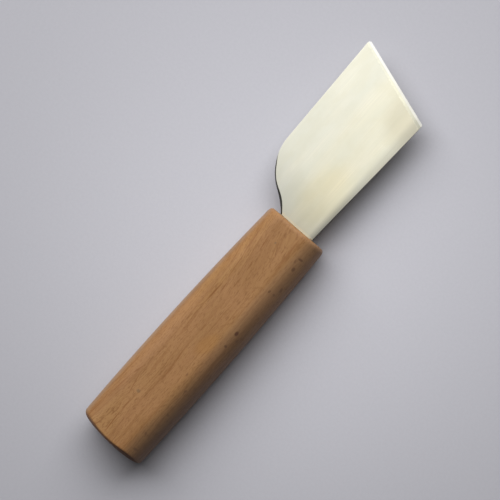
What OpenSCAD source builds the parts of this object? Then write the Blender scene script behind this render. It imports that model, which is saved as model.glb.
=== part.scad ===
// Paring and lino knife: a flat skew-edged blade glued into a lofted wooden handle.
//
// Frame: the knife lies on the flat underside of its handle.
// +X runs along the handle toward the cutting edge, +Y toward the long point of the
// blade, +Z up. The origin is the middle of the handle's underside.

/* [Handle] */
// Length of the handle, from its crowned end to the mouth that holds the blade
handle_length = 105.5; // [90:0.5:120]
// Width of the handle at its widest
handle_width = 28.7; // [26:0.1:32]
// Width of the handle at the mouth
mouth_width = 25.4; // [23:0.1:26]
// Thickness of the handle at its widest
handle_thickness = 19; // [18:0.5:22]
// Thickness of the handle at the mouth
mouth_thickness = 18.2; // [17.5:0.1:18.2]
// Distance from the mouth back to the widest place
widest_from_mouth = 72; // [60:1:80]
// Radius of the four long edges
long_edge_radius = 8; // [6:0.1:8.2]
// Depth sanded off the underside to make it flat
underside_flat = 0.25; // [0.1:0.05:0.5]
// Bulge of the end grain at the far end, middle over rim
end_crown = 1.2; // [0.5:0.1:2.5]
// Extra fall of the end grain where it is rounded off at the sides
end_side_fall = 0.9; // [0:0.1:2]
// Roll of the far end toward top and underside, as a share of its bulge toward the sides
end_roll = 0.85; // [0:0.05:1]
// Lean of the far end from square
end_lean = 1.8; // [0:0.1:3]
// Radius of the edge around the far end
end_edge_radius = 0.6; // [0.4:0.1:2]
// Length of the rounding around the mouth, along the handle
mouth_round_length = 1.8; // [0.8:0.1:2.5]
// Depth of the rounding around the mouth, across the handle
mouth_round_depth = 1.3; // [0.6:0.1:1.8]
// Lean of the sawn mouth from square
mouth_lean = 1.2; // [0:0.1:2]

/* [Blade] */
// Width of the neck where it leaves the mouth
neck_width = 15.3; // [13:0.1:17]
// Shift of the neck off the handle's centre line, toward the long point
neck_shift = 0.8; // [0:0.05:1.5]
// Distance from the mouth to the heel of the cutting edge
heel_reach = 59.3; // [54:0.1:64]
// Length of the cutting edge
edge_length = 38; // [35:0.1:40]
// Skew of the cutting edge from square
edge_skew = 17; // [10:0.1:22]
// Angle at which the straight back edge leans away from the handle's line
back_spread = 2.2; // [0:0.1:3]
// Angle at which the long side leans away from the handle's line
side_spread = 1.4; // [0:0.1:3]
// Size of the small flat that blunts the heel
heel_blunt = 0.4; // [0.1:0.1:0.8]
// Thickness at the neck and tang
neck_thickness = 2; // [1.6:0.1:2.4]
// Thickness where the bevel starts
blade_thickness = 1.2; // [1.1:0.1:1.6]

/* [Neck curve] */
// Angle at which the shoulder curve leaves the mouth
curve_start_angle = 42.8; // [38:0.1:46]
// Angle of the shoulder curve where it turns from hollow to round
curve_turn_angle = 58.7; // [56:0.1:62]
// Radius of the hollow part of the shoulder curve
hollow_radius = 34; // [28:0.5:40]

/* [Edges] */
// Width of the honed strip along the cutting edge
hone_width = 0.9; // [0.5:0.1:1.2]
// Angle of the honed strip
hone_angle = 30; // [26:1:34]
// Angle of the main bevel
bevel_angle = 22; // [18:1:25]
// Size of the chamfer along the shoulder curve
curve_chamfer = 0.5; // [0.2:0.05:0.7]
// Size of the chamfer along the long side
side_chamfer = 0.3; // [0.1:0.05:0.4]
// Width of the shallow roll-off along the straight back edge
roll_width = 2.5; // [1:0.1:3]
// Drop of that roll-off at the rim
roll_drop = 0.15; // [0.1:0.05:0.3]

/* [Tang] */
// Length of the tang inside the handle
tang_length = 58; // [40:1:70]
// Width of the tang at its far end
tang_end_width = 10; // [8:0.5:12]
// Thickness of the glue all round the tang
glue_gap = 0.15; // [0.1:0.05:0.3]

/* [Hidden] */

cutter = 200;          // size of the blocks that trim things
arc_facets = 180;
corner_steps = 10;     // facets in each long edge of the handle
body_stations = 14;
round_steps = 5;       // rings in the rounding of each end
cap_scales = [0.3, 0.55, 0.75, 0.88, 0.96];

mouth_x = handle_length / 2;
butt_x = -handle_length / 2;
widest_x = mouth_x - widest_from_mouth;
width_fall = (handle_width - mouth_width) / 2 / pow(widest_from_mouth, 2);
height_fall = (handle_thickness - mouth_thickness) / pow(widest_from_mouth, 2);
blade_z = handle_thickness / 2;
end_reach = 25;        // how far the shape of each end fades into the handle

// ---- handle loft ----

function half_width(x) = handle_width / 2 - width_fall * pow(x - widest_x, 2);
function top_height(x) = handle_thickness - height_fall * pow(x - widest_x, 2);

// Rounded rectangle in the YZ plane, counter-clockwise seen from +X.
// inset shrinks it evenly on all sides.
function section(x, inset) =
    let (r = long_edge_radius - inset,
         y = half_width(x) - inset - r,
         z_high = top_height(x) - inset - r,
         z_low = r + inset - underside_flat,
         centres = [[y, z_high], [-y, z_high], [-y, z_low], [y, z_low]])
    [for (q = [0:3]) for (i = [0:corner_steps])
        let (a = 90 * q + 90 * i / corner_steps)
        centres[q] + r * [cos(a), sin(a)]];

function fade(distance) = pow(max(0, 1 - distance / end_reach), 2);

// How far a point of the far end sits forward of its middle.
function end_shape(p) =
    let (q = 2 * norm([p.x / handle_width, end_roll * (p.y - blade_z) / handle_thickness]))
    end_crown * pow(q, 2) + end_side_fall * pow(q, 6) + p.x * tan(end_lean);

function mouth_shape(p) = -p.x * tan(mouth_lean);

function ring(x, inset, scale = 1) =
    [for (p = section(x, inset))
        let (q = [p.x * scale, blade_z + (p.y - blade_z) * scale])
        [x + end_shape(q) * fade(x - butt_x) + mouth_shape(q) * fade(mouth_x - x), q.x, q.y]];

cap_rings = [for (s = cap_scales) ring(butt_x, end_edge_radius, s)];
end_rings = [for (i = [round_steps:-1:0])
    let (a = 90 * i / round_steps)
    ring(butt_x + end_edge_radius * (1 - sin(a)), end_edge_radius * (1 - cos(a)))];
body_from = butt_x + end_edge_radius;
body_to = mouth_x - mouth_round_length;
body_rings = [for (i = [1:body_stations])
    ring(body_from + (body_to - body_from) * i / body_stations, 0)];
mouth_rings = [for (i = [1:round_steps])
    let (a = 90 * i / round_steps)
    ring(body_to + mouth_round_length * sin(a), mouth_round_depth * (1 - cos(a)))];
rings = concat(cap_rings, end_rings, body_rings, mouth_rings);

ring_size = 4 * (corner_steps + 1);
loft_points = concat([[butt_x, 0, blade_z]], [for (r = rings) each r]);
function at(i, j) = 1 + i * ring_size + j % ring_size;
last = len(rings) - 1;
loft_faces = concat(
    [for (j = [0:ring_size - 1]) [0, at(0, j), at(0, j + 1)]],
    [for (i = [0:last - 1]) for (j = [0:ring_size - 1])
        each [[at(i, j), at(i + 1, j), at(i + 1, j + 1)],
              [at(i, j), at(i + 1, j + 1), at(i, j + 1)]]],
    [[for (j = [0:ring_size - 1]) at(last, ring_size - 1 - j)]]);

// ---- blade outline, measured from the mouth ----

neck_low = [0, neck_shift - neck_width / 2];
neck_high = [0, neck_shift + neck_width / 2];
heel = [heel_reach, neck_low.y - heel_reach * tan(back_spread)];
edge_line = [sin(edge_skew), cos(edge_skew)];
tip = heel + edge_length * edge_line;

hollow_centre = neck_high + hollow_radius * [-sin(curve_start_angle), cos(curve_start_angle)];
turn = hollow_centre + hollow_radius * [sin(curve_turn_angle), -cos(curve_turn_angle)];
turn_to_side = tip.y - (tip.x - turn.x) * tan(side_spread) - turn.y;
swing = curve_turn_angle - side_spread;
round_radius = turn_to_side * cos(side_spread) / (1 - cos(swing));
round_centre = turn + round_radius * [sin(curve_turn_angle), -cos(curve_turn_angle)];
round_end = round_centre + round_radius * [-sin(side_spread), cos(side_spread)];
shoulder = turn + round_radius * tan(swing / 2) * [cos(curve_turn_angle), sin(curve_turn_angle)];

taper = atan((neck_thickness - blade_thickness) / heel_reach) / 2;
hone_height = hone_width * tan(hone_angle);

tang_radius = tang_end_width / 2;
tang_bend = tang_radius - tang_length;

module blade_outline() {
    difference() {
        union() {
            polygon([neck_low, heel - heel_blunt * [cos(back_spread), -sin(back_spread)],
                     heel + heel_blunt * edge_line, tip, round_end, turn, neck_high]);
            intersection() {
                translate(round_centre) circle(r = round_radius, $fn = arc_facets);
                polygon([turn, shoulder, round_end]);
            }
        }
        translate(hollow_centre) circle(r = hollow_radius, $fn = arc_facets);
    }
}

// Tapered tang with a round end; grow makes the slot that receives it.
module tang_outline(grow, front) {
    slope = (neck_width - tang_end_width) / 2 / -tang_bend;
    near = neck_width / 2 + grow + front * slope;
    far = tang_radius + grow;
    polygon([[front, neck_shift - near], [front, neck_shift + near],
             [tang_bend, neck_shift + far], [tang_bend, neck_shift - far]]);
    translate([tang_bend, neck_shift]) circle(r = far, $fn = arc_facets / 2);
}

module tang_solid(grow, front) {
    translate([mouth_x, 0, blade_z - neck_thickness / 2 - grow])
        linear_extrude(neck_thickness + 2 * grow) tang_outline(grow, front);
}

// The two faces of the blade close in toward the cutting edge, hinged at the mouth.
module on_top_face() {
    translate([mouth_x, 0, blade_z + neck_thickness / 2]) rotate([0, taper, 0]) children();
}

module on_flat_back() {
    translate([mouth_x, 0, blade_z - neck_thickness / 2]) rotate([0, -taper, 0]) children();
}

// Block above a plane that starts at p and runs in direction angle, tipped by tilt.
module trim(p, angle, tilt) {
    translate([p.x, p.y, p.z]) rotate([0, 0, angle]) rotate([tilt, 0, 0])
        translate([-cutter / 2, -cutter / 2, 0]) cube([cutter, cutter, cutter / 4]);
}

module bevel_cuts() {
    inward = [-cos(edge_skew), sin(edge_skew)];
    along = 90 - edge_skew;
    bevel_start = heel + hone_width * inward;
    on_flat_back() {
        trim([heel.x, heel.y, 0], along, hone_angle);
        trim([bevel_start.x, bevel_start.y, hone_height], along, bevel_angle);
    }
}

module edge_chamfers() {
    over = 1;
    on_top_face() {
        // hollow of the shoulder
        translate([hollow_centre.x, hollow_centre.y, 0])
            rotate_extrude($fn = arc_facets)
                polygon([[hollow_radius - over, -curve_chamfer - over],
                         [hollow_radius + curve_chamfer + over, over],
                         [hollow_radius - over, over]]);
        // round of the shoulder
        intersection() {
            translate([round_centre.x, round_centre.y, 0])
                rotate_extrude($fn = arc_facets)
                    polygon([[round_radius - curve_chamfer - over, over],
                             [round_radius + over, -curve_chamfer - over],
                             [round_radius + over, over]]);
            linear_extrude(2 * over, center = true)
                polygon([turn, shoulder, round_end, round_centre]);
        }
        // long side
        trim([tip.x, tip.y, -side_chamfer], side_spread, -45);
        // straight back edge
        trim([heel.x, heel.y, -roll_drop], -back_spread, atan(roll_drop / roll_width));
    }
}

module handle() {
    color([0.62, 0.46, 0.31])
    difference() {
        polyhedron(points = loft_points, faces = loft_faces);
        translate([-cutter / 2, -cutter / 2, -cutter]) cube(cutter);
        tang_solid(glue_gap, 1);
    }
}

module blade() {
    color([0.9, 0.89, 0.82]) {
        difference() {
            translate([mouth_x, 0, blade_z - neck_thickness / 2])
                linear_extrude(neck_thickness) blade_outline();
            on_top_face() trim([0, 0, 0], 0, 0);
            on_flat_back() mirror([0, 0, 1]) trim([0, 0, 0], 0, 0);
            bevel_cuts();
            edge_chamfers();
        }
        tang_solid(0, 0);
    }
}

module tang_glue() {
    color([0.45, 0.33, 0.2])
    difference() {
        tang_solid(glue_gap, 0);
        tang_solid(0, 1);
    }
}

handle();
blade();
tang_glue();
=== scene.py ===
"""Skew paring knife: finish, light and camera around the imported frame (Blender 4.5)."""

import math

import bmesh
import bpy
from mathutils import Matrix, Vector


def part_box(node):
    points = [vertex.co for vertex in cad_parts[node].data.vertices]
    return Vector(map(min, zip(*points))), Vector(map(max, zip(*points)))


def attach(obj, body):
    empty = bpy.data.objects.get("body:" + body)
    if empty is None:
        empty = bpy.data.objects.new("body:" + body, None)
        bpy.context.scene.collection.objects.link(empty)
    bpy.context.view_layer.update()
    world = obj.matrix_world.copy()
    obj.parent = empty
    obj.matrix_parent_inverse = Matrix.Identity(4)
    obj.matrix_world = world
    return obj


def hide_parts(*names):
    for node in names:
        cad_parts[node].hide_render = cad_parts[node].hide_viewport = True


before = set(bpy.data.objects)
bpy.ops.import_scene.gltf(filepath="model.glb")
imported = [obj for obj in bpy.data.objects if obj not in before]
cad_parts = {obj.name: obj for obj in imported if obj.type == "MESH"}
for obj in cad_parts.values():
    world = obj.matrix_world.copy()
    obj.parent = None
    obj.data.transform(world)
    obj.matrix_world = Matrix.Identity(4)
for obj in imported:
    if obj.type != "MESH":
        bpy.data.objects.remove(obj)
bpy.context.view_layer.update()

MM = 0.001  # the shapes below are worked out in millimetres

# ---- sizes: the handle's thickness from the frame, most others as the source has them ----
# The neck, edge, sides and bevel are trimmed by small amounts, inside the source's box.

HANDLE_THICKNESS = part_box("handle")[1].z / MM
HANDLE_LENGTH = 105.5
HANDLE_WIDTH = 28.7
MOUTH_WIDTH = 25.4
MOUTH_THICKNESS = 18.2
WIDEST_FROM_MOUTH = 72
LONG_EDGE_RADIUS = 8
UNDERSIDE_FLAT = 0.25
END_REACH = 25
END_CROWN = 1.2
END_SIDE_FALL = 0.9
END_ROLL = 0.85
END_LEAN = math.radians(1.8)
END_EDGE_RADIUS = 0.6
WORN_CORNER = 1.7
MOUTH_ROUND_LENGTH = 1.8
MOUTH_ROUND_DEPTH = 1.3
MOUTH_LEAN = math.radians(1.2)
SHY = 0.02  # keeps the finer mesh inside the box of the coarser solid
BUTT_X, MOUTH_X = SHY - HANDLE_LENGTH / 2, HANDLE_LENGTH / 2

NECK_WIDTH = 15.45
NECK_SHIFT = 0.75
HEEL_REACH = 59.23
EDGE_LENGTH = 37.97
EDGE_SKEW = math.radians(17)
BACK_SPREAD = math.radians(2.2)
SIDE_SPREAD = math.radians(1.65)
HEEL_BLUNT = 0.4
TIP_BLUNT = 0.8
NECK_THICKNESS = 2
BLADE_THICKNESS = 1.05
BLADE_Z = 9.5
CURVE_START = math.radians(42.8)
CURVE_TURN = math.radians(58.7)
HOLLOW_RADIUS = 34
HONE_WIDTH = 0.9
HONE_ANGLE = math.radians(30)
BEVEL_ANGLE = math.radians(26)
SIDE_CHAMFER_WIDTH = 0.15
TIP_CHAMFER_WIDTH = 0.3
SIDE_CHAMFER_SLOPE = 0.2
ROLL_WIDTH_NECK, ROLL_WIDTH_HEEL = 2.2, 5.0
ROLL_SLOPE = 0.08
TANG_LENGTH = 58
TANG_END_WIDTH = 10
GLUE_GAP = 0.15


# ---- node graphs ----

class Graph:
    """A material's node tree. Inputs are sockets or plain values."""

    def __init__(self, name):
        self.material = bpy.data.materials.new(name)
        self.material.use_nodes = True
        self.tree = self.material.node_tree
        self.tree.nodes.clear()

    def feed(self, socket, value):
        if isinstance(value, bpy.types.NodeSocket):
            self.tree.links.new(value, socket)
        elif value is not None:
            socket.default_value = value

    def add(self, kind, inputs=None, **settings):
        made = self.tree.nodes.new("ShaderNode" + kind)
        for name, value in settings.items():
            setattr(made, name, value)
        for name, value in (inputs or {}).items():
            self.feed(made.inputs[name], value)
        return made

    def math(self, operation, a, b):
        made = self.add("Math", operation=operation)
        self.feed(made.inputs[0], a)
        self.feed(made.inputs[1], b)
        return made.outputs[0]

    def between(self, value, low, high, to_low=0.0, to_high=1.0):
        """value from low..high smoothly to to_low..to_high, and held beyond them."""
        made = self.add("MapRange", interpolation_type="SMOOTHSTEP")
        for index, x in enumerate((value, low, high, to_low, to_high)):
            self.feed(made.inputs[index], x)
        return made.outputs[0]

    def mix(self, share, a, b, blend="MIX"):
        made = self.add("Mix", data_type="RGBA", blend_type=blend, clamp_factor=True)
        for index, x in ((0, share), (6, a), (7, b)):
            self.feed(made.inputs[index], x)
        return made.outputs[2]

    def tint(self, colour, where, strength, other, blend="MIX"):
        """The colour taken by strength toward the other one, where the mask is 1."""
        return self.mix(self.math("MULTIPLY", where, strength), colour, other, blend)

    def place(self):
        """The place in the row frame, in millimetres."""
        made = self.add("VectorMath", operation="SCALE")
        self.feed(made.inputs[0], self.add("TexCoord").outputs["Object"])
        made.inputs["Scale"].default_value = 1 / MM
        return made.outputs[0]

    def split(self, vector):
        return self.add("SeparateXYZ", {"Vector": vector}).outputs

    def join(self, x, y, z):
        return self.add("CombineXYZ", {"X": x, "Y": y, "Z": z}).outputs[0]

    def noise(self, vector, scale, detail=2.0, roughness=0.5, shift=(0, 0, 0)):
        """Noise around 0.5, finer along the axes with a larger scale."""
        moved = self.add("Mapping", {"Vector": vector, "Scale": scale, "Location": shift})
        return self.add("TexNoise", {"Vector": moved.outputs[0], "Scale": 1.0, "Detail": detail,
                                     "Roughness": roughness}).outputs[0]

    def spot(self, place, centre, radii, turn=0.0):
        """1 well inside an ellipsoid with those radii, 0 outside, with a soft edge."""
        moved = self.add("VectorMath", operation="SUBTRACT")
        self.feed(moved.inputs[0], place)
        moved.inputs[1].default_value = centre
        turned = self.add("VectorRotate", {"Vector": moved.outputs[0], "Angle": turn},
                          rotation_type="Z_AXIS")
        shrunk = self.add("VectorMath", operation="DIVIDE")
        self.feed(shrunk.inputs[0], turned.outputs[0])
        shrunk.inputs[1].default_value = radii
        length = self.add("VectorMath", operation="LENGTH")
        self.feed(length.inputs[0], shrunk.outputs[0])
        return self.between(length.outputs["Value"], 0.5, 1.15, 1.0, 0.0)

    def bump(self, height, distance, normal=None):
        """Bump of that height in millimetres."""
        return self.add("Bump", {"Height": height, "Distance": distance * MM,
                                 "Normal": normal}).outputs[0]

    def surface(self, shader):
        out = self.add("OutputMaterial")
        self.tree.links.new(shader.outputs[0], out.inputs["Surface"])
        return self.material


def rgb(r, g, b):
    """An opaque colour in linear light."""
    return (r, g, b, 1.0)


# ---- materials ----

# Dark marks on the handle's top, first the knots and resin flecks, then the grain lines:
# distance back from the mouth, place across, half length along, half width, turn in degrees,
# darkness.
FLECKS = [
    (7.8, -10.0, 0.55, 1.0, 10, 0.7),
    (12.2, -10.3, 1.1, 0.6, 0, 0.65),
    (9.5, -8.9, 0.9, 0.35, 10, 0.4),
    (24.1, -9.3, 0.8, 0.45, -15, 0.6),
    (24.0, -11.2, 0.6, 0.5, 0, 0.4),
    (21.0, -11.9, 1.3, 0.5, 10, 0.45),
    (43.7, -10.6, 1.15, 0.7, 0, 0.95),
    (49.9, -10.7, 0.6, 0.6, 0, 0.7),
    (45.8, -12.3, 1.0, 0.4, 0, 0.4),
    (67.0, -7.2, 0.75, 0.45, 15, 0.5),
    (72.0, -10.8, 0.7, 0.5, -20, 0.4),
    (83.0, -11.6, 0.6, 0.5, 0, 0.4),
    (93.3, -10.0, 0.7, 0.5, 20, 0.45),
    (100.3, -11.0, 0.6, 0.9, 20, 0.5),
]
GRAIN_LINES = [
    (37.5, 5.9, 5.0, 0.40, 1, 0.9),
    (52.0, 5.2, 9.0, 0.75, 4, 0.4),
    (34.0, 4.4, 2.6, 0.35, 4, 0.7),
    (25.0, 6.4, 5.5, 0.32, 7, 0.55),
    (13.0, 8.4, 7.0, 0.38, 9, 0.6),
    (37.0, 7.2, 3.2, 0.28, -5, 0.5),
    (21.5, 2.5, 3.0, 0.28, 11, 0.7),
    (12.0, 4.1, 4.5, 0.28, 9, 0.7),
    (29.5, 1.8, 3.4, 0.28, 3, 0.6),
    (50.0, 0.0, 2.2, 0.25, 2, 0.6),
    (10.0, -5.4, 9.0, 0.50, 4, 0.5),
    (98.5, 2.1, 6.0, 0.30, 5, 0.8),
    (90.5, 2.5, 3.0, 0.26, 3, 0.6),
    (86.0, 9.3, 6.5, 0.30, -6, 0.7),
    (77.5, 7.8, 3.4, 0.30, -14, 0.7),
    (70.0, 4.1, 10.0, 0.85, 4, 0.35),
    (83.5, 5.2, 4.0, 0.26, 12, 0.6),
    (80.0, 6.0, 2.4, 0.24, 12, 0.6),
    (71.0, -1.2, 5.5, 0.30, 3, 0.6),
    (64.0, -0.4, 3.0, 0.28, 12, 0.5),
    (99.5, 10.7, 4.5, 0.28, -3, 0.6),
    (93.0, 3.8, 2.2, 0.24, 8, 0.5),
    (40.0, -6.1, 1.2, 0.30, 0, 0.6),
    (28.0, -4.9, 1.2, 0.26, 0, 0.5),
]
MARK_Z, MARK_DEPTH = 17, 5
SPOTS = [((43.5, 1.0, 18.5), (0.6, 0.45, 2)), ((-30.8, 2.4, 19), (0.8, 0.9, 2))]
RINGS_LOWEST = -9.5   # x at which the growth rings lie lowest
GROUND_WIDTH = 1.95   # how far in from the edge the bevel's colour reaches
SOFT = 0.1            # half the width over which the bevel's colours change


def marked(g, place, wood, marks, colour):
    """The wood with one list of marks drawn on its top."""
    for back, side, half_length, half_width, turn, dark in marks:
        mark = g.spot(place, (MOUTH_X - back, side, MARK_Z),
                      (half_length, half_width, MARK_DEPTH), -math.radians(turn))
        wood = g.tint(wood, mark, dark, colour)
    return wood


def growth_rings(g, place):
    """The place with its y counted across the growth rings. They dip toward RINGS_LOWEST,
    more on the long-point side, and waver a little."""
    x, y, z = g.split(place)
    from_lowest = g.math("SUBTRACT", x, RINGS_LOWEST)
    to_mouth = g.math("POWER", g.math("MAXIMUM", from_lowest, 0.0), 2.0)
    to_butt = g.math("POWER", g.math("MINIMUM", from_lowest, 0.0), 2.0)
    mouth_bend = g.between(y, -8.0, 4.0, 0.0004, 0.0020)
    butt_bend = g.between(y, 0.0, 9.0, 0.0, 0.0024)
    rise = g.math("ADD", g.math("MULTIPLY", to_mouth, mouth_bend),
                  g.math("MULTIPLY", to_butt, butt_bend))
    wave = g.math("MULTIPLY", g.noise(place, (0.035, 0.08, 0.08), detail=1.0), 3.0)
    ring = g.math("ADD", g.math("SUBTRACT", y, rise), wave)
    return g.join(x, ring, z)


def beech_figure(g, place, grain, dashes, fibre):
    """The clean wood's colour: rings, lines, dashes, rays and fibre."""
    broad = g.noise(grain, (0.012, 0.30, 0.22), detail=2.0)
    lines = g.noise(grain, (0.020, 1.30, 0.5), detail=2.5, roughness=0.6, shift=(7, 0, 0))
    rays = g.noise(grain, (0.7, 3.2, 2.0), detail=1.0, shift=(1, 9, 4))
    cloud = g.noise(place, (0.05, 0.09, 0.09), detail=2.0, shift=(5, 0, 0))

    wood = g.mix(g.between(broad, 0.34, 0.66), rgb(0.288, 0.140, 0.051), rgb(0.347, 0.182, 0.069))
    wood = g.mix(g.between(cloud, 0.35, 0.65, 0.0, 0.5), wood, rgb(0.367, 0.184, 0.079))
    wood = g.mix(g.between(lines, 0.50, 0.68, 0.0, 0.6), wood, rgb(0.220, 0.092, 0.025))
    wood = g.mix(g.between(dashes, 0.56, 0.70, 0.0, 0.6), wood, rgb(0.205, 0.086, 0.025))
    wood = g.mix(g.between(rays, 0.55, 0.66, 0.0, 0.5), wood, rgb(0.195, 0.082, 0.025))
    return g.mix(g.between(fibre, 0.35, 0.75, 0.0, 0.22), wood, rgb(0.45, 0.245, 0.095))


def beech_stains(g, place, wood):
    """Broad tints and small marks on the handle's top, placed by the photo."""
    golden = g.spot(place, (-1.2, -5.3, 18.5), (6, 3.2, 5), 0.2)
    wood = g.tint(wood, golden, 0.25, rgb(0.37, 0.165, 0.030))
    amber = g.spot(place, (25, 8.0, 17), (34, 3.4, 6))
    wood = g.tint(wood, amber, 0.45, rgb(0.98, 0.94, 0.70), blend="MULTIPLY")
    # Painted light: the low side paler toward the mouth.
    pale = g.spot(place, (26, -9.4, 16), (42, 3.0, 6))
    wood = g.tint(wood, pale, 0.28, rgb(0.46, 0.27, 0.15))
    # Painted shade: the low side darker toward the butt.
    dark = g.spot(place, (-45, -9.0, 16), (14, 2.0, 5))
    wood = g.tint(wood, dark, 0.25, rgb(0.17, 0.08, 0.04))
    wood = marked(g, place, wood, GRAIN_LINES, rgb(0.215, 0.084, 0.022))
    wood = marked(g, place, wood, FLECKS, rgb(0.125, 0.045, 0.020))
    for centre, radii in SPOTS:
        wood = g.tint(wood, g.spot(place, centre, radii), 0.5, rgb(0.15, 0.10, 0.055))
    return wood


def beech_sides(g, place, wood, facing, butt):
    """The handle's other faces: painted shade on the low side, painted sheen on the long side,
    end grain with painted shade toward the low side, and a painted highlight on the mouth's rim.
    """
    x, y, _ = g.split(place)
    # Painted shade: the low side darker, more so toward the butt.
    low_side_shade = g.math("MULTIPLY", g.between(facing[1], 0.0, -0.95),
                      g.between(x, -50, 50, 0.65, 0.35))
    wood = g.mix(low_side_shade, wood, rgb(0.096, 0.069, 0.055))
    # Painted sheen: the long side paler.
    wood = g.mix(g.between(facing[1], 0.65, 0.95, 0.0, 0.5), wood, rgb(0.33, 0.245, 0.175))
    pores = g.noise(place, (1.2, 4.5, 4.5), detail=2.0, shift=(2, 2, 2))
    # End grain, with painted shade darkening it toward the low side.
    end_grain_and_shade = g.mix(g.between(y, -9, 5), rgb(0.070, 0.034, 0.020), rgb(0.270, 0.140, 0.078))
    end_grain_and_shade = g.mix(g.between(pores, 0.4, 0.62, 0.0, 0.3), end_grain_and_shade, rgb(0.24, 0.120, 0.060))
    wood = g.mix(butt, wood, end_grain_and_shade)
    # Painted highlight: the mouth's rim paler.
    mouth_rim_light = g.between(facing[0], 0.15, 0.75, 0.0, 0.3)
    return g.mix(mouth_rim_light, wood, rgb(0.34, 0.190, 0.090))


def beech():
    """Oiled beech: drifting growth rings, short ray flecks, fine fibre, a few dark spots."""
    g = Graph("beech")
    place = g.place()
    grain = growth_rings(g, place)
    dashes = g.noise(grain, (0.32, 2.7, 1.6), detail=1.5, shift=(3, 5, 0))
    fibre = g.noise(grain, (0.5, 9.0, 9.0), detail=2.0)
    facing = g.split(g.add("NewGeometry").outputs["Normal"])
    butt = g.between(facing[0], -0.35, -0.8)

    wood = beech_figure(g, place, grain, dashes, fibre)
    wood = beech_stains(g, place, wood)
    wood = beech_sides(g, place, wood, facing, butt)
    gloss = g.math("ADD", g.between(fibre, 0.3, 0.7, 0.43, 0.53), g.math("MULTIPLY", butt, 0.3))
    normal = g.bump(fibre, 0.035)
    normal = g.bump(g.math("SUBTRACT", 1.0, g.between(dashes, 0.60, 0.74)), 0.03, normal)
    shader = g.add("BsdfPrincipled", {"Base Color": wood, "Roughness": gloss, "Normal": normal,
                                      "Specular IOR Level": 0.22})
    return g.surface(shader)


def steel_face(g, place, lines, haze):
    """The flat steel's colour: polishing lines, broad haze and a faint cloud."""
    cloud = g.noise(place, (0.10, 0.18, 0.2), detail=3.0, roughness=0.6, shift=(0, 3, 0))
    colour = g.mix(g.between(lines, 0.3, 0.7), rgb(0.565, 0.546, 0.444), rgb(0.657, 0.635, 0.517))
    colour = g.mix(g.between(haze, 0.35, 0.65, 0.0, 0.5), colour, rgb(0.607, 0.603, 0.505))
    return g.mix(g.between(cloud, 0.4, 0.65, 0.0, 0.30), colour, rgb(0.561, 0.538, 0.411))


def steel_bevel(g, place, colour, facing):
    """The fresh bevel with painted shade toward the heel, and a darker patch on the flat behind
    it.
    """
    y = g.split(place)["Y"]
    from_edge = g.add("VectorMath", operation="DOT_PRODUCT")
    g.feed(from_edge.inputs[0], place)
    from_edge.inputs[1].default_value = (EDGE_INWARD.x, EDGE_INWARD.y, 0)
    inward = g.math("SUBTRACT", from_edge.outputs["Value"], HEEL.dot(EDGE_INWARD))
    upward = g.between(facing[2], 0.0, 0.5)
    near_edge = g.between(inward, GROUND_WIDTH + SOFT, GROUND_WIDTH - SOFT)
    ground = g.math("MULTIPLY", near_edge, upward)
    honed = g.between(inward, HONE_WIDTH + SOFT, HONE_WIDTH - SOFT)
    black = rgb(0, 0, 0)
    # Painted shade: both strips darker toward the heel.
    coarse = g.mix(g.between(y, -9, 4, 0.34, 0.06), rgb(0.639, 0.624, 0.505), black)
    fine = g.mix(g.between(y, -8, 22, 0.16, 0.0), rgb(0.666, 0.655, 0.591), black)
    colour = g.mix(ground, colour, g.mix(honed, coarse, fine))
    # A darker patch on the flat near the heel, off the bevel.
    heel_patch = g.spot(place, (MOUTH_X + 58.5, -4.0, BLADE_Z + 1), (13, 10, 4))
    strength = 0.42
    flat_only = g.math("SUBTRACT", strength, g.math("MULTIPLY", ground, strength))
    return g.mix(g.math("MULTIPLY", heel_patch, flat_only), colour, rgb(0.470, 0.431, 0.314))


def steel_shades(g, place, colour):
    """Broad tints: painted shade toward the neck and along the low edge, yellower near the neck,
    bluer along the long side."""
    x, y, _ = g.split(place)
    # Painted shade: darker toward the neck, and faintly on along the blade.
    neck_shade = g.between(x, MOUTH_X, MOUTH_X + 24, 1.0, 0.0)
    colour = g.mix(neck_shade, colour, rgb(0.76, 0.77, 0.79), blend="MULTIPLY")
    neck_to_heel_shade = g.between(x, MOUTH_X + 5, MOUTH_X + 62, 1.0, 0.0)
    colour = g.mix(neck_to_heel_shade, colour, rgb(0.92, 0.92, 0.92), blend="MULTIPLY")
    # Painted shade along the low edge, weaker toward the heel.
    low_edge_shade = g.math("MULTIPLY", g.between(y, -4.2, -7.6),
                      g.between(x, MOUTH_X + 12, MOUTH_X + 36, 1.0, 0.35))
    colour = g.mix(low_edge_shade, colour, rgb(0.62, 0.63, 0.65), blend="MULTIPLY")
    yellowed = g.spot(place, (MOUTH_X + 15, 0.5, BLADE_Z), (17, 9, 4))
    colour = g.mix(yellowed, colour, rgb(1.0, 0.97, 0.89), blend="MULTIPLY")
    return g.mix(g.between(y, 8, 16), colour, rgb(1.0, 1.01, 1.05), blend="MULTIPLY")


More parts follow.
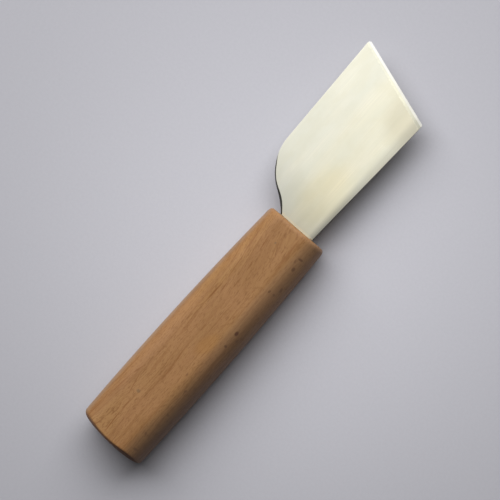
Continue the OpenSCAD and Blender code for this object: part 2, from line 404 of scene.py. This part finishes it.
def steel_marks(g, place, colour, facing):
    """A darker brownish strip and a painted reflection of the wood at the mouth, a dark band
    along the shoulder, and painted shade on the wall along the low edge near the neck."""
    x = g.split(place)["X"]
    # A darker brownish strip on the blade right at the mouth.
    mouth_strip = g.between(x, MOUTH_X + 0.6, MOUTH_X + 1.1, 0.5, 0.0)
    colour = g.mix(mouth_strip, colour, rgb(0.539, 0.475, 0.335))
    # Painted reflection: the handle's wood seen in the blade by the mouth, a brown speck.
    wood_reflection = g.spot(place, (MOUTH_X + 0.3, NECK_LOW.y + 0.45, BLADE_Z + 1), (0.4, 0.65, 2))
    colour = g.tint(colour, wood_reflection, 0.5, rgb(0.16, 0.085, 0.04))
    # A dark band along the shoulder's chamfer, read from the mesh attribute.
    scale = g.add("Attribute", attribute_name=DARK_BAND).outputs["Fac"]
    colour = g.tint(colour, scale, 0.95, rgb(0.05, 0.05, 0.045))
    # Painted shade: the low edge's wall dark near the neck.
    near_neck = g.between(x, MOUTH_X + 40, MOUTH_X + 15)
    back_wall_shade = g.math("MULTIPLY", g.between(facing[1], -0.6, -0.9), near_neck)
    return g.tint(colour, back_wall_shade, 0.85, rgb(0.07, 0.065, 0.06))


def steel():
    """Brushed carbon steel with fine polishing lines along the knife."""
    g = Graph("brushed_steel")
    place = g.place()
    lines = g.noise(place, (0.035, 5.0, 5.0), detail=3.0, roughness=0.65)
    haze = g.noise(place, (0.03, 0.22, 0.2), detail=2.0, shift=(4, 0, 0))
    facing = g.split(g.add("NewGeometry").outputs["Normal"])

    colour = steel_face(g, place, lines, haze)
    colour = steel_bevel(g, place, colour, facing)
    colour = steel_shades(g, place, colour)
    colour = steel_marks(g, place, colour, facing)
    gloss = g.math("ADD", g.between(lines, 0.3, 0.7, 0.60, 0.68),
                   g.between(haze, 0.3, 0.7, 0.0, 0.04))
    shader = g.add("BsdfPrincipled", {"Base Color": colour, "Metallic": 1.0, "Roughness": gloss,
                                      "Normal": g.bump(lines, 0.004)})
    return g.surface(shader)


def glue():
    """Cured epoxy, amber brown and a little blotchy."""
    g = Graph("tang_glue")
    blotch = g.noise(g.place(), (0.8, 0.8, 0.8), detail=3.0)
    colour = g.mix(g.between(blotch, 0.35, 0.65), rgb(0.12, 0.06, 0.025), rgb(0.2, 0.12, 0.055))
    shader = g.add("BsdfPrincipled", {"Base Color": colour, "Roughness": 0.35,
                                      "Normal": g.bump(blotch, 0.05)})
    return g.surface(shader)


PAPER_MIDDLE = (42, -4.5, 0)
PAPER_FADE = 160.0     # distance over which the painted falloff of light darkens the sheet,
PAPER_DARKEST = 0.26   # and by how much


def paper():
    """The pale sheet that the knife lies on, darker away from its middle: painted falloff of
    light.
    """
    g = Graph("paper")
    place = g.place()
    tooth = g.noise(place, (0.9, 0.9, 0.9), detail=4.0, roughness=0.6)
    colour = g.mix(g.between(tooth, 0.3, 0.7), rgb(0.582, 0.578, 0.626), rgb(0.598, 0.594, 0.642))

    reach = g.add("VectorMath", operation="DISTANCE")
    g.feed(reach.inputs[0], place)
    reach.inputs[1].default_value = PAPER_MIDDLE
    # Painted falloff of light: the sheet darker away from its middle.
    falloff = g.between(reach.outputs["Value"], 0.0, PAPER_FADE, 0.0, PAPER_DARKEST)
    colour = g.mix(falloff, colour, rgb(0, 0, 0))
    shader = g.add("BsdfPrincipled", {"Base Color": colour, "Roughness": 0.9,
                                      "Normal": g.bump(tooth, 0.02), "Specular IOR Level": 0.1})
    return g.surface(shader)


# ---- mesh helpers ----

def piece_from(bm, name, sharp_angle):
    """Makes a piece of a mesh worked out in millimetres. It is shaded smooth, apart from
    edges that turn by more than the sharp angle, in degrees."""
    bmesh.ops.recalc_face_normals(bm, faces=bm.faces)
    bmesh.ops.scale(bm, vec=(MM, MM, MM), verts=bm.verts)
    mesh = bpy.data.meshes.new(name)
    bm.to_mesh(mesh)
    bm.free()
    for polygon in mesh.polygons:
        polygon.use_smooth = True
    mesh.set_sharp_from_angle(angle=math.radians(sharp_angle))
    piece = bpy.data.objects.new(name, mesh)
    bpy.context.scene.collection.objects.link(piece)
    return piece


def loop_pairs(items):
    """Each item with the one after it, and the last with the first."""
    return zip(items, items[1:] + items[:1])


def bridge(bm, ring, following, closed=True):
    """Faces between two rings with equally many vertices."""
    pairs = list(zip(loop_pairs(ring), loop_pairs(following)))
    for (a, b), (c, d) in pairs if closed else pairs[:-1]:
        bm.faces.new((a, c, d, b))


def along(angle):
    """The direction at that angle in plan, one long."""
    return Vector((math.cos(angle), math.sin(angle)))


def arc(centre, radius, start, end, steps):
    """Points on an arc, both ends included. Angles are in radians."""
    return [centre + radius * along(start + (end - start) * i / steps) for i in range(steps + 1)]


# ---- handle ----

def half_width(x):
    """Half the handle's width at x, widest WIDEST_FROM_MOUTH behind the mouth."""
    fall = (HANDLE_WIDTH - MOUTH_WIDTH) / 2 / WIDEST_FROM_MOUTH ** 2
    return HANDLE_WIDTH / 2 - fall * (x - MOUTH_X + WIDEST_FROM_MOUTH) ** 2


def top_height(x):
    """Height of the handle's top at x, highest at the same place."""
    fall = (HANDLE_THICKNESS - MOUTH_THICKNESS) / WIDEST_FROM_MOUTH ** 2
    return HANDLE_THICKNESS - fall * (x - MOUTH_X + WIDEST_FROM_MOUTH) ** 2


def section(x, inset):
    """Rounded rectangle of the handle at x, shrunk evenly by inset, as (y, z) points."""
    corner_steps, flat_steps = 20, 5
    inset += SHY
    radius = LONG_EDGE_RADIUS - inset
    y = half_width(x) - inset - radius
    high = top_height(x) - inset - radius
    low = radius + inset - UNDERSIDE_FLAT
    centres = [Vector(c) for c in ((y, high), (-y, high), (-y, low), (y, low))]
    points = []
    for quarter, (centre, following) in enumerate(loop_pairs(centres)):
        start = quarter * math.pi / 2
        points += arc(centre, radius, start, start + math.pi / 2, corner_steps)
        flat_end = points[-1] + following - centre
        points += [points[-1].lerp(flat_end, i / flat_steps) for i in range(1, flat_steps)]
    return points


def fade(distance):
    """1 at an end of the handle, 0 from END_REACH inward."""
    return max(0.0, 1 - distance / END_REACH) ** 2


def worn_back(y, distance):
    """How far a point is worn in from the butt's long-point corner, that far from the end."""
    if y <= 0 or distance >= WORN_CORNER:
        return 0.0
    depth = WORN_CORNER - math.sqrt(WORN_CORNER ** 2 - (WORN_CORNER - max(distance, 0.0)) ** 2)
    return depth * (2 * y / HANDLE_WIDTH) ** 2


def handle_point(x, y, z):
    """Bulges the butt and leans both ends, like the source does, and wears one corner."""
    y -= worn_back(y, x - BUTT_X)
    q = 2 * math.hypot(y / HANDLE_WIDTH, END_ROLL * (z - BLADE_Z) / HANDLE_THICKNESS)
    end_shape = END_CROWN * q ** 2 + END_SIDE_FALL * q ** 6 + y * math.tan(END_LEAN)
    mouth_shape = -y * math.tan(MOUTH_LEAN)
    return (x + end_shape * fade(x - BUTT_X) + mouth_shape * fade(MOUTH_X - x), y, max(z, 0.0))


def handle_ring(bm, x, inset, scale):
    """Vertices round the handle at x, shrunk toward the line at the blade's level."""
    ring = []
    for y, z in section(x, inset):
        ring.append(bm.verts.new(handle_point(x, y * scale, BLADE_Z + (z - BLADE_Z) * scale)))
    return ring


def tang_outline(grow):
    """Outline of the tang from its long-side corner at the mouth round to the other one."""
    steps = 16
    end_radius = TANG_END_WIDTH / 2
    end = Vector((MOUTH_X + end_radius - TANG_LENGTH, NECK_SHIFT))
    near = NECK_WIDTH / 2 + grow
    points = [Vector((MOUTH_X, NECK_SHIFT + near))]
    points += arc(end, end_radius + grow, math.pi / 2, 3 * math.pi / 2, steps)
    points.append(Vector((MOUTH_X, NECK_SHIFT - near)))
    return points


def cut_slot(bm, mouth_ring):
    """The slot that the tang is glued into, open at the mouth."""
    reach = NECK_THICKNESS / 2 + GLUE_GAP
    outline = tang_outline(GLUE_GAP)
    low = [bm.verts.new(handle_point(p.x, p.y, BLADE_Z - reach)) for p in outline]
    high = [bm.verts.new(handle_point(p.x, p.y, BLADE_Z + reach)) for p in outline]
    bridge(bm, low, high, closed=False)
    bm.faces.new(low)
    bm.faces.new(high)
    front = [bm.edges.get(pair) for pair in loop_pairs(mouth_ring)]
    for pair in ((low[0], high[0]), (low[-1], high[-1]), (low[0], low[-1]), (high[0], high[-1])):
        front.append(bm.edges.get(pair))
    bmesh.ops.triangle_fill(bm, edges=front, use_beauty=True, normal=(1, 0, 0))


def handle_stations():
    """Every ring of the handle from butt to mouth, as (x, inset, scale)."""
    cap_steps, round_steps, corner_steps, body_steps = 14, 8, 4, 72
    stations = []
    for i in range(1, cap_steps):
        stations.append((BUTT_X, END_EDGE_RADIUS, math.sin(math.pi / 2 * i / cap_steps)))
    for i in range(round_steps, -1, -1):
        a = math.pi / 2 * i / round_steps
        stations.append((BUTT_X + END_EDGE_RADIUS * (1 - math.sin(a)),
                         END_EDGE_RADIUS * (1 - math.cos(a)), 1.0))
    start, end = BUTT_X + END_EDGE_RADIUS, MOUTH_X - MOUTH_ROUND_LENGTH
    for i in range(1, corner_steps + 1):
        stations.append((start + (WORN_CORNER - END_EDGE_RADIUS) * i / corner_steps, 0, 1.0))
    start = BUTT_X + WORN_CORNER
    for i in range(1, body_steps + 1):
        stations.append((start + (end - start) * i / body_steps, 0, 1.0))
    for i in range(1, round_steps + 1):
        a = math.pi / 2 * i / round_steps
        stations.append((end + MOUTH_ROUND_LENGTH * math.sin(a),
                         MOUTH_ROUND_DEPTH * (1 - math.cos(a)), 1.0))
    return stations


def make_handle():
    """Rings from butt to mouth, closed at the butt, with the slot cut into the mouth."""
    bm = bmesh.new()
    rings = [handle_ring(bm, x, inset, scale) for x, inset, scale in handle_stations()]
    for ring, following in zip(rings, rings[1:]):
        bridge(bm, ring, following)
    middle = bm.verts.new((BUTT_X, 0, BLADE_Z))
    for a, b in loop_pairs(rings[0]):
        bm.faces.new((middle, a, b))
    cut_slot(bm, rings[-1])
    return piece_from(bm, "beech_handle", sharp_angle=35)


# ---- blade ----

DARK_BAND = "dark_band"   # mesh attribute: share of the dark band on the steel
BACK_WAY = Vector((math.cos(BACK_SPREAD), -math.sin(BACK_SPREAD)))
SIDE_WAY = along(SIDE_SPREAD)
EDGE_WAY = Vector((math.sin(EDGE_SKEW), math.cos(EDGE_SKEW)))
EDGE_INWARD = Vector((-EDGE_WAY.y, EDGE_WAY.x))
NECK_LOW = Vector((MOUTH_X, NECK_SHIFT - NECK_WIDTH / 2))
NECK_HIGH = Vector((MOUTH_X, NECK_SHIFT + NECK_WIDTH / 2))
HEEL = NECK_LOW + BACK_WAY * HEEL_REACH / math.cos(BACK_SPREAD)
TIP = HEEL + EDGE_WAY * EDGE_LENGTH
FACE_TAPER = math.atan((NECK_THICKNESS - BLADE_THICKNESS) / HEEL_REACH) / 2

# The shoulder curve's chamfer is widest near the mouth, at CURVE_CHAMFER_PEAK from it.
CURVE_CHAMFER_WIDTH = 0.52
CURVE_CHAMFER_EXTRA = 0.46
CURVE_CHAMFER_PEAK = 3.6
CURVE_CHAMFER_SPREAD = 2.8
CURVE_CHAMFER_SLOPE = 1.2
CURVE_CHAMFER_DROP = 0.9   # the most it drops
DARK_END = 16.5           # distance from the mouth at which the dark band has ended
DARK_FADE = 4.0           # length over which it fades before that
ROLL_POWER = 2.0
CHAMFER_POWER = 1.15
TANG_CHAMFER = 0.2
RIM_SHARES = (0, 0.05, 0.15, 0.3, 0.45, 0.6, 0.75, 0.9, 1, 1.12)   # of the rim's width
LOW_RIM_SHARE = 0.3        # the underside's rim rises by this share of the top's drop,
LOW_RIM_RISE = 0.06        # and at most by this much
WELD = 2e-4


def curve_chamfer(reach):
    """Width of the ground chamfer along the shoulder curve, by distance from the mouth."""
    off_peak = (reach - CURVE_CHAMFER_PEAK) / CURVE_CHAMFER_SPREAD
    return CURVE_CHAMFER_WIDTH + CURVE_CHAMFER_EXTRA * math.exp(-off_peak ** 2)


def lerp(a, b, share):
    """The number that share of the way from a to b."""
    return a + (b - a) * share


def shoulder():
    """The S-curved shoulder, from the long side to the neck: a round arc, then a hollow one."""
    round_steps, hollow_steps = 40, 16
    hollow_centre = NECK_HIGH + HOLLOW_RADIUS * along(CURVE_START + math.pi / 2)
    turn = hollow_centre + HOLLOW_RADIUS * along(CURVE_TURN - math.pi / 2)
    rise = TIP.y - (TIP.x - turn.x) * math.tan(SIDE_SPREAD) - turn.y
    round_radius = rise * math.cos(SIDE_SPREAD) / (1 - math.cos(CURVE_TURN - SIDE_SPREAD))
    round_centre = turn + round_radius * along(CURVE_TURN - math.pi / 2)
    rounded = arc(round_centre, round_radius, SIDE_SPREAD + math.pi / 2,
                  CURVE_TURN + math.pi / 2, round_steps)
    hollow = arc(hollow_centre, HOLLOW_RADIUS, CURVE_TURN - math.pi / 2,
                 CURVE_START - math.pi / 2, hollow_steps)
    return rounded + hollow[1:]


def worked_rim():
    """The outline, counter-clockwise from the neck. The sides run on past the cutting edge,
    which cuts them off later. Each point is (place, rim width, rim drop, power of its falloff,
    share of the dark band on the rim)."""
    past, back_steps, side_steps = 8.0, 24, 12
    curve = shoulder()
    back_end, side_end = HEEL + BACK_WAY * past, TIP + SIDE_WAY * past
    rim = []
    for i in range(back_steps + 1):
        width = lerp(ROLL_WIDTH_NECK, ROLL_WIDTH_HEEL, i / back_steps)
        place = NECK_LOW.lerp(back_end, i / back_steps)
        rim.append((place, width, ROLL_SLOPE * width, ROLL_POWER, 0))
    for i in range(side_steps):
        width = lerp(TIP_CHAMFER_WIDTH, SIDE_CHAMFER_WIDTH, i / side_steps)
        place = side_end.lerp(curve[0], i / side_steps)
        rim.append((place, width, SIDE_CHAMFER_SLOPE * width, CHAMFER_POWER, 0))
    for place in curve:
        reach = place.x - MOUTH_X
        dark_left = min(1, max(0, (DARK_END - reach) / DARK_FADE))
        width = lerp(SIDE_CHAMFER_WIDTH, curve_chamfer(reach), dark_left)
        slope = lerp(SIDE_CHAMFER_SLOPE, CURVE_CHAMFER_SLOPE, dark_left)
        drop = min(slope * width, CURVE_CHAMFER_DROP)
        rim.append((place, width, drop, CHAMFER_POWER, dark_left))
    for place in tang_outline(0)[1:-1]:
        rim.append((place, TANG_CHAMFER, TANG_CHAMFER / 2, CHAMFER_POWER, 1))
    return rim


def rim_rings(bm, rim):
    """Rings of vertices from the rim inward. Their z is how far they drop below the face."""
    points = [place for place, *_ in rim]
    inward = []
    for before, here, after in zip(points[-1:] + points[:-1], points, points[1:] + points[:1]):
        a, b = (here - before).normalized(), (after - here).normalized()
        left_a, left_b = Vector((-a.y, a.x)), Vector((-b.y, b.x))
        inward.append((left_a + left_b) / (1 + left_a.dot(left_b)))
    dark = bm.verts.layers.float.new(DARK_BAND)
    rings = []
    for share in RIM_SHARES:
        ring = []
        for (place, width, drop, power, dark_left), way in zip(rim, inward):
            p = place + way * width * share
            v = bm.verts.new((p.x, p.y, -drop * max(0, 1 - share) ** power))
            v[dark] = dark_left if share < 1 else 0
            ring.append(v)
        rings.append(ring)
    return rings


def cut(bm, point, way, clear=False):
    """Cuts the sheet along a line in plan. clear drops what lies on the line's right."""
    bmesh.ops.bisect_plane(bm, geom=bm.verts[:] + bm.edges[:] + bm.faces[:], dist=1e-5,
                           plane_co=(point.x, point.y, 0), plane_no=(way.y, -way.x, 0),
                           clear_outer=clear)


def face_height(x):
    """Half the blade's thickness at x: its two faces close in toward the edge."""
    return NECK_THICKNESS / 2 - max(0, x - MOUTH_X) * math.tan(FACE_TAPER)


def bevel_height(p):
    """Height of the ground bevel and the honed strip above the flat back."""
    inward = (p - HEEL).dot(EDGE_INWARD)
    hone = inward * math.tan(HONE_ANGLE)
    bevel = HONE_WIDTH * math.tan(HONE_ANGLE) + (inward - HONE_WIDTH) * math.tan(BEVEL_ANGLE)
    return max(0, min(hone, bevel))


def bevel_start(p):
    """Slides p, on the cutting edge, inward to where the bevel meets the face."""
    reach, step = 0.0, 0.002
    while bevel_height(p + EDGE_INWARD * reach) < 2 * face_height((p + EDGE_INWARD * reach).x):
        reach += step
    return p + EDGE_INWARD * reach


def trim_edges(bm):
    """Lines for the mouth, the bevel and the honed strip, then the cuts along the edge and
    across the heel and the point."""
    cut(bm, NECK_LOW, Vector((0, 1)))
    heel_start, tip_start = bevel_start(HEEL), bevel_start(TIP)
    cut(bm, heel_start, (tip_start - heel_start).normalized())
    cut(bm, HEEL + EDGE_INWARD * HONE_WIDTH, EDGE_WAY)
    cut(bm, HEEL, EDGE_WAY, clear=True)
    heel_from, heel_to = HEEL - BACK_WAY * HEEL_BLUNT, HEEL + EDGE_WAY * HEEL_BLUNT
    cut(bm, heel_from, (heel_to - heel_from).normalized(), clear=True)
    tip_from, tip_to = TIP - EDGE_WAY * TIP_BLUNT, TIP - SIDE_WAY * TIP_BLUNT
    cut(bm, tip_from, (tip_to - tip_from).normalized(), clear=True)


def make_blade():
    """A flat sheet with its rim worked, doubled for the underside and closed round the rim."""
    bm = bmesh.new()
    rings = rim_rings(bm, worked_rim())
    for ring, following in zip(rings, rings[1:]):
        bridge(bm, ring, following)
    bm.faces.new(rings[-1])
    trim_edges(bm)

    top = bm.verts[:]
    rim_edges = [e for e in bm.edges if len(e.link_faces) == 1]
    copy = bmesh.ops.duplicate(bm, geom=bm.verts[:] + bm.edges[:] + bm.faces[:])["vert_map"]
    for v in top:
        below = copy[v]
        plan = Vector((v.co.x, v.co.y))
        half = face_height(v.co.x)
        rise = min(-LOW_RIM_SHARE * v.co.z, LOW_RIM_RISE) * min(1, bevel_height(plan))
        v.co.z = BLADE_Z + min(half + v.co.z, bevel_height(plan) - half)
        below.co.z = BLADE_Z - half + rise
    for e in rim_edges:
        a, b = e.verts
        bm.faces.new((a, b, copy[b], copy[a]))
    bmesh.ops.remove_doubles(bm, verts=bm.verts[:], dist=WELD)
    return piece_from(bm, "skew_blade", sharp_angle=14)


# ---- the scene ----

def dress(piece, material):
    """Gives the piece one material."""
    piece.data.materials.clear()
    piece.data.materials.append(material)


def stand_in(piece, node):
    """Lets the piece stand in for a node of the CAD part."""
    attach(piece, "root")
    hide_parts(node)
    return piece


def make_floor():
    """A plain level floor, 6 m square."""
    mesh = bpy.data.meshes.new("floor")
    half = 3.0
    mesh.from_pydata([(-half, -half, 0), (half, -half, 0), (half, half, 0), (-half, half, 0)],
                     [], [(0, 1, 2, 3)])
    floor = bpy.data.objects.new("floor", mesh)
    bpy.context.scene.collection.objects.link(floor)
    mesh.materials.append(paper())


PICTURE_UP = math.radians(42.33)      # from the row's +X to the picture's up direction
AIM = Vector((35.15, 8.15, 9.5)) * MM
CAMERA_LEAN = Vector((0.02, -0.2, 1))
CAMERA_DISTANCE = 1.5
PICTURE_WIDTH = 185.4 * MM


def make_camera():
    """Looks down on the knife, from a little toward its low side."""
    back = CAMERA_LEAN.normalized()
    up = Vector((math.cos(PICTURE_UP), math.sin(PICTURE_UP), 0))
    right = up.cross(back).normalized()
    up = back.cross(right)
    data = bpy.data.cameras.new("camera")
    data.sensor_width = 36
    data.lens = data.sensor_width * CAMERA_DISTANCE / PICTURE_WIDTH
    data.clip_start, data.clip_end = 0.05, 20
    camera = bpy.data.objects.new("camera", data)
    bpy.context.scene.collection.objects.link(camera)
    turn = Matrix((right, up, back)).transposed().to_4x4()
    camera.matrix_world = Matrix.Translation(AIM + back * CAMERA_DISTANCE) @ turn
    bpy.context.scene.camera = camera


WINDOW_AZIMUTH, WINDOW_ELEVATION = math.radians(42), math.radians(48)
WINDOW_DISTANCE = 1.0
WINDOW_SIZE = (1.9, 1.0)
WINDOW_POWER = 21.3


def make_window():
    """One wide soft panel, high on the long-point side of the edge."""
    level = along(WINDOW_AZIMUTH) * math.cos(WINDOW_ELEVATION)
    toward = Vector((level.x, level.y, math.sin(WINDOW_ELEVATION)))
    data = bpy.data.lights.new("window", "AREA")
    data.shape = "RECTANGLE"
    data.size, data.size_y = WINDOW_SIZE
    data.energy = WINDOW_POWER
    lamp = bpy.data.objects.new("window", data)
    bpy.context.scene.collection.objects.link(lamp)
    lamp.location = AIM + toward * WINDOW_DISTANCE
    lamp.rotation_mode = "QUATERNION"
    lamp.rotation_quaternion = toward.to_track_quat("Z", "Y")


AMBIENT, AMBIENT_STRENGTH = rgb(1.0, 0.97, 0.93), 0.034
STUDIO, STUDIO_STRENGTH = rgb(0.44, 0.44, 0.46), 1.0


def make_world():
    """Faint light from all round. The camera and reflections see a pale studio there."""
    world = bpy.data.worlds.new("world")
    bpy.context.scene.world = world
    world.use_nodes = True
    tree = world.node_tree
    tree.nodes.clear()
    path = tree.nodes.new("ShaderNodeLightPath")
    seen = path.outputs["Is Camera Ray"]
    for kind in ("Is Glossy Ray", "Is Transmission Ray"):
        either = tree.nodes.new("ShaderNodeMath")
        either.operation = "MAXIMUM"
        tree.links.new(seen, either.inputs[0])
        tree.links.new(path.outputs[kind], either.inputs[1])
        seen = either.outputs[0]
    choice = tree.nodes.new("ShaderNodeMixShader")
    tree.links.new(seen, choice.inputs[0])
    for index, colour, strength in ((1, AMBIENT, AMBIENT_STRENGTH), (2, STUDIO, STUDIO_STRENGTH)):
        background = tree.nodes.new("ShaderNodeBackground")
        background.inputs["Color"].default_value = colour
        background.inputs["Strength"].default_value = strength
        tree.links.new(background.outputs[0], choice.inputs[index])
    out = tree.nodes.new("ShaderNodeOutputWorld")
    tree.links.new(choice.outputs[0], out.inputs["Surface"])


make_camera()
make_floor()
make_window()
make_world()

dress(stand_in(make_handle(), "handle"), beech())
dress(stand_in(make_blade(), "blade"), steel())
dress(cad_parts["tang_glue"], glue())

bpy.context.scene.view_settings.view_transform = "Standard"
